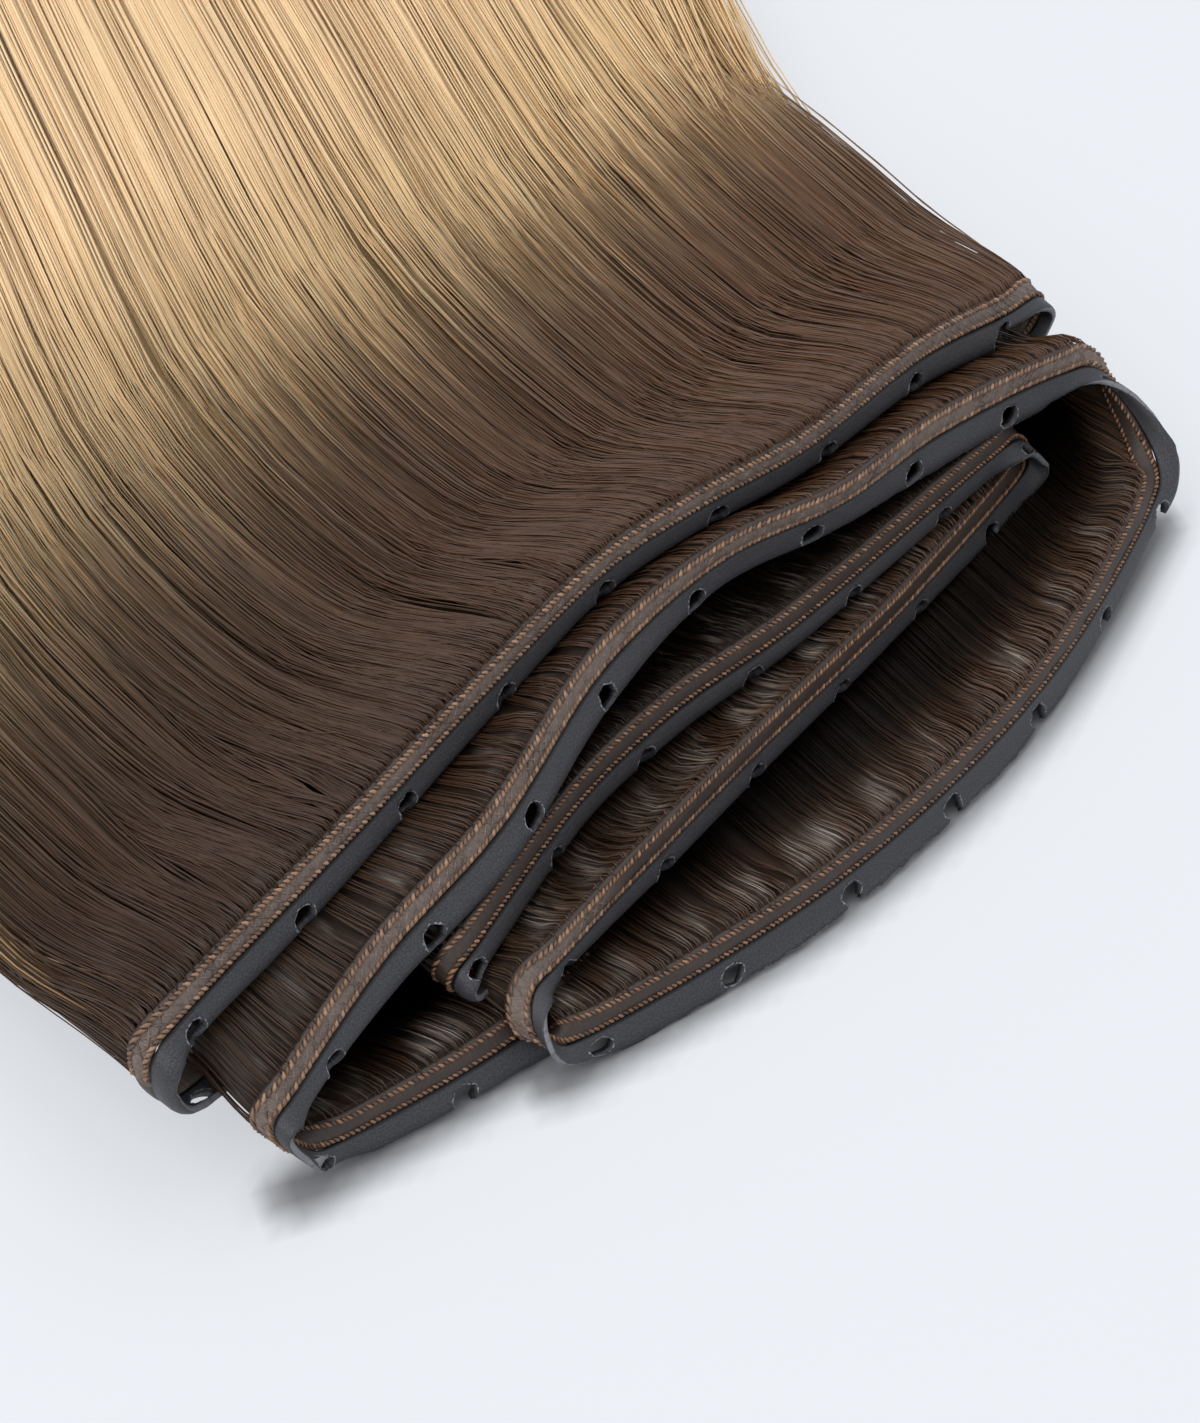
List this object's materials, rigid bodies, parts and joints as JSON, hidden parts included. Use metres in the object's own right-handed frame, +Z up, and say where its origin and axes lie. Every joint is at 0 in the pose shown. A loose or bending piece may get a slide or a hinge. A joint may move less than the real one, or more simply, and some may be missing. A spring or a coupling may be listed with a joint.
{
  "type": "butterfly weft hair extension",
  "caption": "Long soft weft strip pierced with a row of round holes, sewn to a stitched band of long straight hair, laid down folded back and forth in a pile.",
  "frame": {"origin": "centre of the whole pile's outline on the table, at the table's surface", "axes": "+Z up, +Y along the hair from the folded strip towards the tips, +X to the right of the pile"},
  "size_m": [0.1443, 0.4698, 0.0307],
  "materials": {
    "strip": "matte",
    "band": "sewn thread over hair",
    "hair": "smooth hair, dark at the root and pale towards the tip"
  },
  "bodies": {
    "root": {"hole_strip": "strip", "stitch_band": "band", "hair": "hair"}
  },
  "joints": []
}
